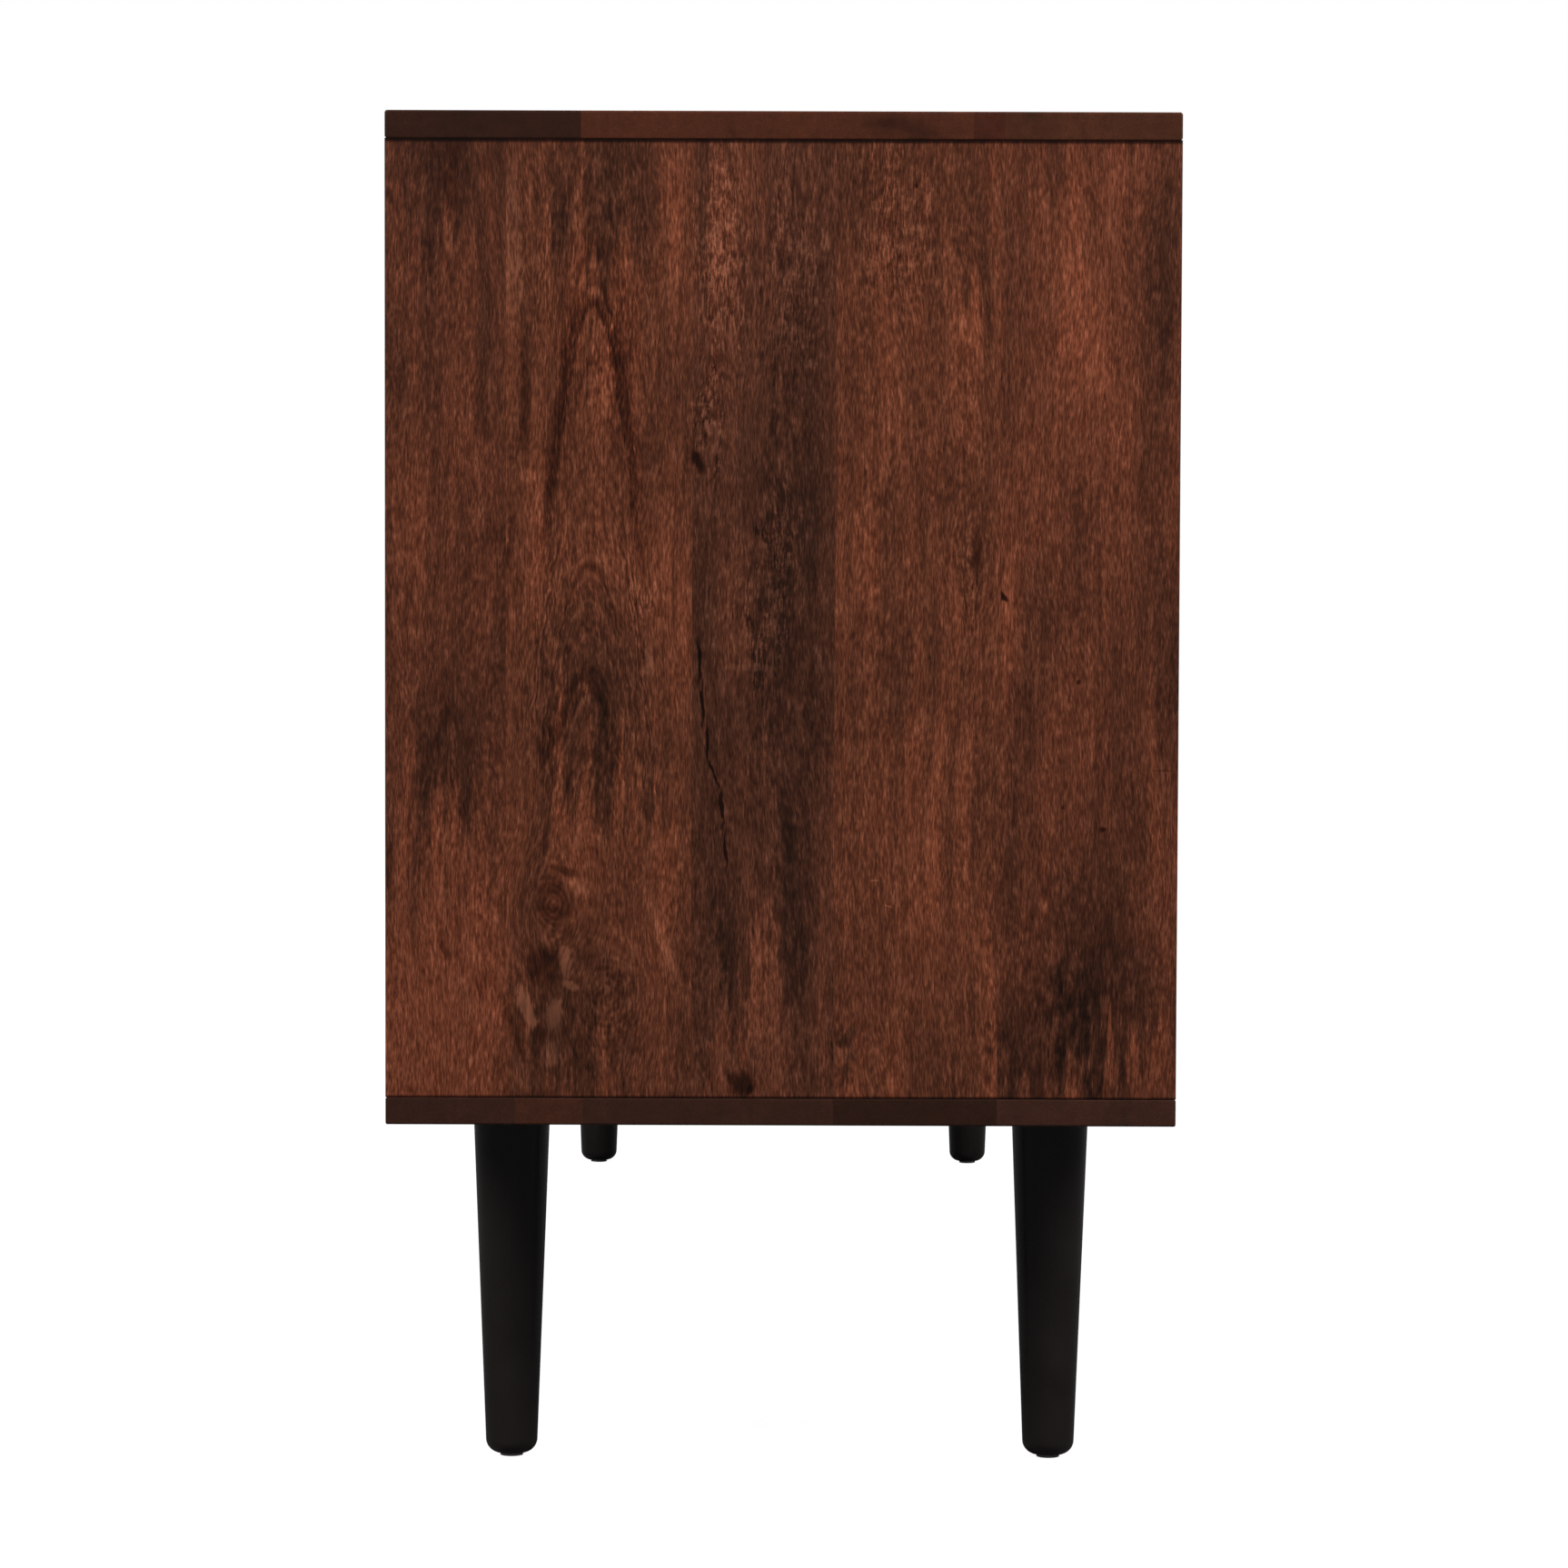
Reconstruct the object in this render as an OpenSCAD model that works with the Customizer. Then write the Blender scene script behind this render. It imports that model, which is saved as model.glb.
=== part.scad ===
// Sideboard buffet: a solid-wood case on four turned legs, with a hinged door at each
// end and three drawers between the doors.
// X runs along the length, Y from front to back and Z up. The origin is on the floor,
// under the middle of the case. Lengths are in millimetres.

/* [Case] */
// Overall length of the case
case_length = 1560; // [1280:10:1900]
// Overall depth of the case, front to back
case_depth = 430; // [350:2:520]
// Height of the case, from its underside to its top
case_height = 549; // [455:1:670]
// Thickness of the top, bottom, side and partition boards
board = 15; // [12:0.5:20]
// Clear width between the two partitions, where the drawers run
drawer_bay = 500; // [400:5:620]

/* [Back panel] */
// Thickness of the back panel
back_thick = 6; // [4:0.5:8]
// Distance that the back panel's edges run into the boards
back_rebate = 7; // [5:0.5:9]
// Distance from the rear edges of the boards to the back panel
back_inset = 2; // [1:0.5:5]
// Play between the back panel's edges and its rebate
back_play = 0.5; // [0.2:0.1:1]
// Longest spacing between two back panel screws
back_screw_pitch = 250; // [150:10:350]

/* [Legs] */
// Height from the floor to the underside of the case
leg_height = 204; // [165:1:250]
// Diameter of a leg where it meets the case
leg_top_d = 44; // [36:0.5:54]
// Diameter of a leg just above its rounded foot
leg_foot_d = 29.4; // [24:0.2:36]
// Radius of the rounding at a leg's foot
foot_round = 8; // [5:0.5:10]
// Distance from an end of the case to a leg's centre
leg_inset_x = 125; // [80:5:180]
// Distance from the front or the back of the case to a leg's centre
leg_inset_y = 62; // [45:1:90]
// Thread diameter of the hanger bolt in a leg
bolt_d = 8; // [6:1:10]
// Length of the hanger bolt inside the leg
bolt_in_leg = 30; // [20:1:45]
// Outer diameter of the T-nut's barrel
t_nut_barrel_d = 10.5; // [9:0.5:13]
// Diameter of the T-nut's flange
t_nut_flange_d = 22; // [18:1:27]
// Thickness of the T-nut's flange
t_nut_flange_thick = 1.5; // [1:0.25:2]
// Diameter of the nylon glide under a foot
glide_d = 13; // [10:0.5:16]
// Thickness of the nylon glide
glide_thick = 1.5; // [1:0.25:3]

/* [Fronts] */
// Thickness of the doors and the drawer fronts
front_thick = 18; // [15:0.5:22]
// Distance that the fronts sit back from the front edges of the case
front_setback = 8; // [7:0.5:12]
// Gap between a front and what is beside it
reveal = 2; // [1.5:0.25:3]
// Length of the finger pull cut into the edge of a front
pull_length = 100; // [80:5:120]
// Depth of the finger pull, which is also the radius of its ends
pull_depth = 20; // [16:1:24]

/* [Hinges] */
// Height of a butt hinge
hinge_height = 50; // [40:5:65]
// Width of one hinge leaf, from the pin's centre to its rear edge
leaf_width = 19; // [15:1:23]
// Thickness of a hinge leaf
leaf_thick = 1.6; // [1.2:0.1:2]
// Outer diameter of the knuckles
knuckle_d = 6; // [5:0.2:6.5]
// Diameter of the hinge pin
hinge_pin_d = 3; // [2.4:0.2:3.6]
// Gap between the knuckles and the wood beside them
knuckle_gap = 0.4; // [0.3:0.05:0.6]
// Distance from a door's top or bottom edge to a hinge's centre
hinge_inset = 70; // [50:5:110]

/* [Shelves] */
// Play between each end of a shelf and the boards beside it
shelf_play = 2; // [2:0.25:4]
// Distance from the back of a door to the front edge of a shelf
shelf_front_gap = 6; // [3:1:40]
// Distance from a shelf's rear edge to the back panel
shelf_back_gap = 3; // [1:1:20]
// Diameter of the shelf pins
shelf_pin_d = 5; // [4:0.5:6]
// Length of a shelf pin on each side of the board's face
shelf_pin_reach = 8; // [6:0.5:9]
// Vertical spacing of the shelf pin holes
pin_pitch = 32; // [25:1:40]

/* [Drawers] */
// Thickness of the sides and ends of a drawer box
box_wall = 12; // [10:0.5:15]
// Height of a drawer box
box_height = 110; // [90:5:132]
// Height of a drawer box above its front's lower edge
box_lift = 14; // [8:1:20]
// Thickness of a drawer's bottom sheet
box_sheet = 6; // [4:0.5:8]
// Height of the bottom sheet above the box's lower edge
sheet_lift = 9; // [6:1:14]
// Depth of the groove that holds the bottom sheet
sheet_groove = 6; // [4:0.5:7]
// Play of the bottom sheet in its groove
sheet_play = 0.3; // [0.2:0.1:0.5]
// Width of a drawer slide, from the partition to the drawer box
slide_width = 12.7; // [12.2:0.1:15.4]
// Height of a drawer slide's outer member
slide_height = 45; // [37.5:0.5:55]
// Wall thickness of the slide members
slide_wall = 1.2; // [1:0.1:1.5]
// Space for the balls between two slide members' flanges
ball_space = 2.6; // [2.2:0.1:3.2]

/* [Catches] */
// Length of a magnetic catch
catch_length = 46; // [38:1:60]
// Height of a magnetic catch
catch_height = 13; // [11:0.5:16]
// Depth of a magnetic catch, front to back
catch_depth = 14; // [12:0.5:18]
// Distance from a partition to the middle of the catch beside it
catch_inset = 70; // [50:5:120]
// Thickness of the strike plate on a door
strike_thick = 1; // [0.8:0.1:1.5]

/* [Fasteners] */
// Diameter of the dowels that join the boards
dowel_d = 8; // [6:1:9]
// Length of a dowel in the face of a board
dowel_in_face = 9; // [7:0.5:10]
// Length of a dowel in the end of a board
dowel_in_end = 21; // [15:1:30]
// Shank diameter of the wood screws
screw_d = 3; // [2.5:0.5:3.5]
// Head diameter of the wood screws
screw_head_d = 6; // [5:0.5:7]
// Radial play of a screw, dowel, bolt or pin in its hole
hole_play = 0.05; // [0.02:0.01:0.1]

/* [Hidden] */
$fn = 64;

// Colours
walnut_stain = "#532e20";
end_grain = "#47251a";
pale_wood = "#8a6a48";
black_lacquer = "#171514";
aged_brass = "#8c6f3c";
zinc = "#b4b6b8";
nylon = "#e8e6e0";
brown_plastic = "#4a3a30";

// Case
end_x = case_length / 2;
front_y = -case_depth / 2;
back_y = case_depth / 2;
base_z = leg_height;
top_z = base_z + case_height;
inner_x = end_x - board;
inner_low = base_z + board;
inner_high = top_z - board;
inner_height = inner_high - inner_low;
bay_x = drawer_bay / 2;
door_bay_x = bay_x + board;
back_front_y = back_y - back_inset - back_thick;
cut = 1; // overrun of a cutting shape past a face

// Fronts
face_y = front_y + front_setback;
rear_face_y = face_y + front_thick;
door_low_x = door_bay_x + reveal;
door_high_x = inner_x - reveal;
door_low_z = inner_low + reveal;
door_high_z = inner_high - reveal;
drawers = 3;
front_height = (inner_height - (drawers + 1) * reveal) / drawers;
drawer_front_x = bay_x - reveal;

// Hinges
hinge_x = inner_x - knuckle_gap - knuckle_d / 2;
hinge_y = face_y - knuckle_gap - knuckle_d / 2;
hinge_zs = [door_low_z + hinge_inset, door_high_z - hinge_inset];
knuckles = 5;
knuckle_length = hinge_height / knuckles;
knuckle_end_gap = 0.3;
leaf_rear_y = hinge_y + leaf_width;
hinge_screw_y = (face_y + leaf_rear_y) / 2;
hinge_screw_z = hinge_height / 2 - 12;
hinge_screw_length = 11;

// Shelves
shelf_low_x = door_bay_x + shelf_play;
shelf_high_x = inner_x - shelf_play;
shelf_front_y = rear_face_y + shelf_front_gap;
shelf_rear_y = back_front_y - shelf_back_gap;
pin_z = (inner_low + inner_high) / 2 - board;
shelf_z = pin_z + shelf_pin_d / 2;
pin_end_gap = 40; // from a shelf's front or rear edge to a pin's centre
pin_ys = [shelf_front_y + pin_end_gap, shelf_rear_y - pin_end_gap];
pin_collar_d = shelf_pin_d + 3;
pin_collar_thick = 1.5;

// Drawers and slides
slide_step = 50; // slides are sold in steps of this length
box_extra = 10; // length of a drawer box beyond its slides
slide_length = slide_step * floor((back_front_y - rear_face_y - box_extra) / slide_step);
slide_front_y = rear_face_y + 3;
box_x = bay_x - slide_width;
box_rear_y = rear_face_y + slide_length + box_extra;
outer_half = slide_height / 2;
middle_half = outer_half - slide_wall - ball_space;
inner_half = middle_half - slide_wall - ball_space;
web_space = 1.4; // between the webs of two slide members
middle_web = slide_wall + web_space;
inner_flange = middle_web + slide_wall + web_space;
slide_screw_ys = [slide_front_y + 35, slide_front_y + slide_length - 60];
slide_screw_length = 10;
flat_head_thick = 0.8;

// Legs
leg_x = end_x - leg_inset_x;
leg_y = back_y - leg_inset_y;
foot_z = glide_thick;
nail_d = 2.2;
nail_length = 14;

// Catches
catch_x = door_bay_x + catch_inset;
catch_gap = 0.2; // between a catch and the strike plate
catch_front_y = rear_face_y + strike_thick + catch_gap;
catch_screw_x = catch_length / 2 - 6;
magnet_length = catch_length - 24;
magnet_height = catch_height - 5;
magnet_depth = catch_depth / 2;
strike_height = catch_height - reveal - 2;
strike_z = inner_high - reveal - 1 - strike_height / 2;

// Dowels
dowel_ys = [for (share = [-0.42, -0.14, 0.14, 0.42]) share * case_depth];

// ---- shared shapes ----

// A box between two opposite corners.
module block(low, high) {
  translate(low) cube(high - low);
}

// Draws its children for the right-hand half, or mirrored for the left-hand half.
module on_side(side) {
  if (side == "right") children();
  else mirror([1, 0, 0]) children();
}

// Draws its children for both halves.
module on_both_sides() {
  on_side("right") children();
  on_side("left") children();
}

// A cylinder from a point along X, Y or Z. A negative length runs the other way.
module rod(point, axis, length, d) {
  turn = axis == "x" ? [0, 90, 0] : axis == "y" ? [-90, 0, 0] : [0, 0, 0];
  translate(point) rotate(turn)
    translate([0, 0, min(length, 0)]) cylinder(h = abs(length), d = d);
}

// A countersunk wood screw along +Z, its head's face at z = 0, or its hole when play > 0.
module sunk_screw(length, play = 0) {
  sink = (screw_head_d - screw_d) / 2;
  difference() {
    rotate_extrude() polygon([
      [0, 0], [screw_head_d / 2 + play, 0], [screw_d / 2 + play, sink],
      [screw_d / 2 + play, length + play], [0, length + play],
    ]);
    if (play == 0) cross_recess(screw_head_d * 0.55, 1);
  }
}

// A pan-head wood screw along +Z, the underside of its head at z = 0.
module pan_screw(length, head_d, head_thick) {
  difference() {
    union() {
      translate([0, 0, -head_thick]) cylinder(h = head_thick, d = head_d);
      cylinder(h = length, d = screw_d);
    }
    translate([0, 0, -head_thick]) cross_recess(head_d * 0.55, head_thick * 0.6);
  }
}

// The cross-shaped recess of a screw head, cut from z = 0 upwards.
module cross_recess(span, depth) {
  slot = span * 0.24;
  for (turn = [0, 90]) rotate(turn)
    translate([-span / 2, -slot / 2, -cut]) cube([span, slot, depth + cut]);
}

// Turns children that point along +Z so that they point along another axis.
module pointing(axis) {
  turn = axis == "+x" ? [0, 90, 0] : axis == "-x" ? [0, -90, 0]
    : axis == "+y" ? [-90, 0, 0] : axis == "-y" ? [90, 0, 0]
    : axis == "-z" ? [180, 0, 0] : [0, 0, 0];
  rotate(turn) children();
}

// ---- case joints, used by the boards and by what goes into them ----

// The dowels at the ends of one upright board, centred on x, at its top and bottom.
module upright_dowels(x, play = 0) {
  for (y = dowel_ys) {
    rod([x, y, inner_high - dowel_in_end - play], "z",
      dowel_in_end + dowel_in_face + 2 * play, dowel_d + 2 * play);
    rod([x, y, inner_low - dowel_in_face - play], "z",
      dowel_in_end + dowel_in_face + 2 * play, dowel_d + 2 * play);
  }
}

module all_dowels(play = 0) {
  on_both_sides() {
    upright_dowels(inner_x + board / 2, play);
    upright_dowels(bay_x + board / 2, play);
  }
}

// Evenly spaced values from low to high, no further apart than pitch.
function spread(low, high, pitch) =
  let (steps = ceil((high - low) / pitch))
  [for (i = [0 : steps]) low + i * (high - low) / steps];

back_screw_xs = spread(-inner_x + 40, inner_x - 40, back_screw_pitch);
back_screw_zs = spread(inner_low + 60, inner_high - 60, back_screw_pitch);
back_screw_edge = back_rebate / 2;

// The screws that hold the back panel, driven from behind, or their holes.
module back_screws(play = 0) {
  for (x = back_screw_xs, z = [inner_low - back_screw_edge, inner_high + back_screw_edge])
    translate([x, back_front_y + back_thick, z]) pointing("-y") sunk_screw(16, play);
  for (x = [inner_x + back_screw_edge, bay_x + board / 2], side = [-1, 1], z = back_screw_zs)
    translate([side * x, back_front_y + back_thick, z]) pointing("-y") sunk_screw(16, play);
}

// The space behind the boards that the back panel sits in.
module back_rebate_space() {
  block([-inner_x - back_rebate, back_front_y, inner_low - back_rebate],
    [inner_x + back_rebate, back_y + cut, inner_high + back_rebate]);
}

// The shelf pins of the right-hand bay, or the whole rows of their holes.
module pins_right() {
  for (y = pin_ys, wall = [[door_bay_x, 1], [inner_x, -1]]) {
    rod([wall[0] - wall[1] * shelf_pin_reach, y, pin_z], "x",
      wall[1] * 2 * shelf_pin_reach, shelf_pin_d);
    rod([wall[0], y, pin_z], "x", wall[1] * pin_collar_thick, pin_collar_d);
  }
}

module pin_holes_right() {
  for (y = pin_ys, step = [-2 : 2], wall = [[door_bay_x, 1], [inner_x, -1]])
    rod([wall[0] + wall[1] * cut, y, pin_z + step * pin_pitch], "x",
      -wall[1] * (shelf_pin_reach + 1 + cut), shelf_pin_d + 2 * hole_play);
}

// ---- hinges ----

// The knuckles that belong to the case leaf (first = 0) or the door leaf (first = 1).
module knuckle_run(first) {
  for (i = [first : 2 : knuckles - 1]) {
    low = i == 0 ? 0 : knuckle_end_gap / 2;
    high = i == knuckles - 1 ? 0 : knuckle_end_gap / 2;
    translate([hinge_x, hinge_y, i * knuckle_length + low - hinge_height / 2])
      knuckle(knuckle_length - low - high, first);
  }
}

// One knuckle of a given length, with the neck that joins it to its leaf.
module knuckle(length, first) {
  cylinder(h = length, d = knuckle_d);
  if (first == 0)
    block([0, -leaf_thick / 2, 0], [inner_x + leaf_thick - hinge_x, leaf_thick / 2, length]);
  else
    block([door_high_x - leaf_thick - hinge_x, 0, 0],
      [door_high_x - hinge_x, face_y - hinge_y, length]);
}

module hinge_bore() {
  rod([hinge_x, hinge_y, -hinge_height / 2 - cut], "z", hinge_height + 2 * cut,
    hinge_pin_d + 2 * hole_play);
}

// The screws of one leaf, pointing into the side board or into the door's edge.
module leaf_screws(into, play = 0) {
  x = into == "case" ? inner_x : door_high_x;
  for (z = [-hinge_screw_z, hinge_screw_z])
    translate([x, hinge_screw_y, z]) pointing(into == "case" ? "+x" : "-x")
      sunk_screw(hinge_screw_length, play);
}

module case_leaf() {
  color(aged_brass) difference() {
    union() {
      block([inner_x, hinge_y - leaf_thick / 2, -hinge_height / 2],
        [inner_x + leaf_thick, leaf_rear_y, hinge_height / 2]);
      knuckle_run(0);
    }
    hinge_bore();
    leaf_screws("case", hole_play);
  }
}

module door_leaf() {
  color(aged_brass) difference() {
    union() {
      block([door_high_x - leaf_thick, face_y, -hinge_height / 2],
        [door_high_x, leaf_rear_y, hinge_height / 2]);
      knuckle_run(1);
    }
    hinge_bore();
    leaf_screws("door", hole_play);
  }
}

module hinge_pin() {
  cap = 1.2;
  color(aged_brass) {
    rod([hinge_x, hinge_y, -hinge_height / 2], "z", hinge_height, hinge_pin_d);
    for (end = [-1, 1])
      rod([hinge_x, hinge_y, end * hinge_height / 2], "z", end * cap, hinge_pin_d + 1.4);
  }
}

// Draws its children once for each hinge of the right-hand door.
module at_hinges() {
  for (z = hinge_zs) translate([0, 0, z]) children();
}

// The recess that a case leaf sits in.
module case_leaf_mortise() {
  block([inner_x - cut, hinge_y - leaf_thick / 2, -hinge_height / 2],
    [inner_x + leaf_thick, leaf_rear_y, hinge_height / 2]);
}

module door_leaf_mortise() {
  block([door_high_x - leaf_thick, face_y - cut, -hinge_height / 2],
    [door_high_x + cut, leaf_rear_y, hinge_height / 2]);
}

// ---- case boards ----

module slide_screw_shanks(index, play = 0) {
  z = slide_z(index);
  for (y = slide_screw_ys)
    rod([bay_x - slide_wall - cut, y, z], "x", cut + slide_wall + slide_screw_length + play,
      screw_d + 2 * play);
}

module leg_fixing_holes() {
  for (x = [-leg_x, leg_x], y = [-leg_y, leg_y]) {
    rod([x, y, base_z - cut], "z", board + 2 * cut, t_nut_barrel_d + 2 * hole_play);
    rod([x, y, inner_low - t_nut_flange_thick], "z", t_nut_flange_thick + cut,
      t_nut_flange_d + 2 * hole_play);
  }
}

module catch_screw_set(play = 0) {
  for (x = [-catch_screw_x, catch_screw_x])
    translate([catch_x + x, catch_front_y + catch_depth / 2, inner_high - catch_height]) {
      if (play == 0) pan_screw(catch_height + 9, screw_head_d, 1.6);
      else cylinder(h = catch_height + 9 + play, d = screw_d + 2 * play);
    }
}

module top_panel() {
  color(end_grain) difference() {
    block([-end_x, front_y, inner_high], [end_x, back_y, top_z]);
    back_rebate_space();
    all_dowels(hole_play);
    back_screws(hole_play);
    on_both_sides() catch_screw_set(hole_play);
  }
}

module bottom_panel() {
  color(end_grain) difference() {
    block([-end_x, front_y, base_z], [end_x, back_y, inner_low]);
    back_rebate_space();
    all_dowels(hole_play);
    back_screws(hole_play);
    leg_fixing_holes();
  }
}

module side_panel(side) {
  color(walnut_stain) on_side(side) difference() {
    block([inner_x, front_y, inner_low], [end_x, back_y, inner_high]);
    back_rebate_space();
    upright_dowels(inner_x + board / 2, hole_play);
    back_screws(hole_play);
    pin_holes_right();
    at_hinges() {
      case_leaf_mortise();
      leaf_screws("case", hole_play);
    }
  }
}

module side_panel_left() side_panel("left");
module side_panel_right() side_panel("right");

module partition(side) {
  color(walnut_stain) on_side(side) difference() {
    block([bay_x, face_y, inner_low], [door_bay_x, back_front_y, inner_high]);
    upright_dowels(bay_x + board / 2, hole_play);
    back_screws(hole_play);
    pin_holes_right();
    for (index = [0 : drawers - 1]) slide_screw_shanks(index, hole_play);
  }
}

module partition_left() partition("left");
module partition_right() partition("right");

module back_panel() {
  reach = back_rebate - back_play;
  color(pale_wood) difference() {
    block([-inner_x - reach, back_front_y, inner_low - reach],
      [inner_x + reach, back_front_y + back_thick, inner_high + reach]);
    back_screws(hole_play);
  }
}

module back_panel_screws() color(zinc) back_screws();
module case_dowels() color(pale_wood) all_dowels();

module shelf(side) {
  color(walnut_stain) on_side(side)
    block([shelf_low_x, shelf_front_y, shelf_z], [shelf_high_x, shelf_rear_y, shelf_z + board]);
}

module shelf_left() shelf("left");
module shelf_right() shelf("right");
module shelf_pins() color(zinc) on_both_sides() pins_right();

// ---- legs ----

// A tapered leg's outline, right of its axis, from its foot to its top.
module leg_outline() {
  foot_r = leg_foot_d / 2;
  intersection() {
    union() {
      polygon([
        [0, foot_z + foot_round], [foot_r, foot_z + foot_round],
        [leg_top_d / 2, base_z], [0, base_z],
      ]);
      translate([foot_r - foot_round, foot_z + foot_round]) circle(r = foot_round);
      translate([0, foot_z]) square([foot_r - foot_round, foot_round + cut]);
    }
    square([leg_top_d, base_z]);
  }
}

module leg(side_x, side_y) {
  color(black_lacquer) translate([side_x * leg_x, side_y * leg_y, 0]) difference() {
    rotate_extrude() leg_outline();
    rod([0, 0, base_z - bolt_in_leg - hole_play], "z", bolt_in_leg + hole_play + cut,
      bolt_d + 2 * hole_play);
    rod([0, 0, foot_z - cut], "z", nail_length + cut + hole_play, nail_d + 2 * hole_play);
  }
}

module leg_front_left() leg(-1, -1);
module leg_front_right() leg(1, -1);
module leg_back_left() leg(-1, 1);
module leg_back_right() leg(1, 1);

module at_legs() {
  for (x = [-leg_x, leg_x], y = [-leg_y, leg_y]) translate([x, y, 0]) children();
}

module leg_bolts() {
  color(zinc) at_legs()
    rod([0, 0, base_z - bolt_in_leg], "z", bolt_in_leg + board - 1, bolt_d);
}

module leg_t_nuts() {
  color(zinc) at_legs() difference() {
    union() {
      rod([0, 0, base_z + 1], "z", board - 1, t_nut_barrel_d);
      rod([0, 0, inner_low - t_nut_flange_thick], "z", t_nut_flange_thick, t_nut_flange_d);
    }
    rod([0, 0, base_z], "z", board + cut, bolt_d + 2 * hole_play);
  }
}

module foot_glides() {
  color(nylon) at_legs() {
    rod([0, 0, 0], "z", glide_thick, glide_d);
    rod([0, 0, 0], "z", glide_thick + nail_length, nail_d);
  }
}

// ---- hinge parts ----

module hinge_case_leaves() on_both_sides() at_hinges() case_leaf();
module hinge_case_screws() color(aged_brass) on_both_sides() at_hinges() leaf_screws("case");
module hinge_door_leaves_left() on_side("left") at_hinges() door_leaf();
module hinge_door_leaves_right() on_side("right") at_hinges() door_leaf();
module hinge_pins_left() on_side("left") at_hinges() hinge_pin();
module hinge_pins_right() on_side("right") at_hinges() hinge_pin();
module hinge_screws_left() color(aged_brass) on_side("left") at_hinges() leaf_screws("door");
module hinge_screws_right() color(aged_brass) on_side("right") at_hinges() leaf_screws("door");

// ---- doors ----

// A finger pull's outline, centred on an edge that lies along X at y = 0.
module pull_outline() {
  straight = pull_length - 2 * pull_depth;
  for (x = [-straight / 2, straight / 2]) translate([x, 0]) circle(r = pull_depth);
  translate([-straight / 2, -pull_depth]) square([straight, 2 * pull_depth]);
}

// The finger pull in the edge of a front, whose middle is at point.
module pull_cut(point, upright) {
  translate([point[0], rear_face_y + cut, point[1]]) rotate([90, 0, 0])
    linear_extrude(height = front_thick + 2 * cut) rotate(upright ? 90 : 0) pull_outline();
}

module door(side) {
  color(walnut_stain) on_side(side) difference() {
    block([door_low_x, face_y, door_low_z], [door_high_x, rear_face_y, door_high_z]);
    pull_cut([door_low_x, (door_low_z + door_high_z) / 2], true);
    at_hinges() {
      door_leaf_mortise();
      leaf_screws("door", hole_play);
    }
    strike_fixing(hole_play);
  }
}

module door_left() door("left");
module door_right() door("right");

// The strike plate's screw, driven into the back of the door, or its hole.
module strike_fixing(play = 0) {
  translate([catch_x, rear_face_y + strike_thick, strike_z]) pointing("-y")
    sunk_screw(12, play);
}

module strike_plate(side) {
  color(zinc) on_side(side) difference() {
    block([catch_x - magnet_length / 2 - 4, rear_face_y, strike_z - strike_height / 2],
      [catch_x + magnet_length / 2 + 4, rear_face_y + strike_thick, strike_z + strike_height / 2]);
    strike_fixing(hole_play);
  }
}

module strike_plate_left() strike_plate("left");
module strike_plate_right() strike_plate("right");
module strike_screw_left() color(zinc) on_side("left") strike_fixing();
module strike_screw_right() color(zinc) on_side("right") strike_fixing();

// ---- magnetic catches ----

module catch_magnet() {
  low_z = inner_high - catch_height + 2;
  block([catch_x - magnet_length / 2, catch_front_y, low_z],
    [catch_x + magnet_length / 2, catch_front_y + magnet_depth, low_z + magnet_height]);
}

module door_catches() {
  color(brown_plastic) on_both_sides() difference() {
    block([catch_x - catch_length / 2, catch_front_y, inner_high - catch_height],
      [catch_x + catch_length / 2, catch_front_y + catch_depth, inner_high]);
    catch_magnet();
    catch_screw_set(hole_play);
  }
}

module catch_magnets() color(zinc) on_both_sides() catch_magnet();
module catch_screws() color(zinc) on_both_sides() catch_screw_set();

// ---- drawer slides ----

// Height of a drawer front's lower edge; drawer 0 is the lowest.
function front_z(index) = inner_low + reveal + index * (front_height + reveal);
function box_z(index) = front_z(index) + box_lift;
function slide_z(index) = box_z(index) + box_height / 2;

// A channel of the right-hand slide: w is the distance from the partition's face.
module channel(index, half, web_w, flange_low_w, flange_high_w) {
  z = slide_z(index);
  rear_y = slide_front_y + slide_length;
  block([bay_x - web_w - slide_wall, slide_front_y, z - half],
    [bay_x - web_w, rear_y, z + half]);
  for (low_z = [z - half, z + half - slide_wall])
    block([bay_x - flange_high_w, slide_front_y, low_z],
      [bay_x - flange_low_w, rear_y, low_z + slide_wall]);
}

module outer_member(index) {
  difference() {
    channel(index, outer_half, 0, 0, slide_width - 2.7);
    slide_screw_shanks(index, hole_play);
  }
}

module middle_members(index) {
  color(zinc) on_both_sides()
    channel(index, middle_half, middle_web, middle_web, slide_width - slide_wall - 1);
}

module inner_members(index) {
  color(zinc) on_both_sides() difference() {
    channel(index, inner_half, slide_width - slide_wall, inner_flange, slide_width);
    inner_member_screws(index, hole_play);
  }
}

// The screws that hold an inner member to the drawer box, or their holes.
module inner_member_screws(index, play = 0) {
  for (y = slide_screw_ys) translate([box_x + slide_wall, y, slide_z(index)]) pointing("-x") {
    if (play == 0) pan_screw(slide_screw_length, screw_head_d, flat_head_thick);
    else translate([0, 0, -cut])
      cylinder(h = slide_screw_length + play + cut, d = screw_d + 2 * play);
  }
}

module slide_outer_members() {
  color(zinc) on_both_sides() for (index = [0 : drawers - 1]) outer_member(index);
}

module slide_outer_screws() {
  color(zinc) on_both_sides() for (index = [0 : drawers - 1], y = slide_screw_ys)
    translate([bay_x - slide_wall, y, slide_z(index)]) pointing("+x")
      pan_screw(slide_screw_length + slide_wall, screw_head_d, flat_head_thick);
}

module slide_middle_members_top() middle_members(2);
module slide_middle_members_middle() middle_members(1);
module slide_middle_members_bottom() middle_members(0);
module slide_inner_members_top() inner_members(2);
module slide_inner_members_middle() inner_members(1);
module slide_inner_members_bottom() inner_members(0);

// ---- drawers ----

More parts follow.
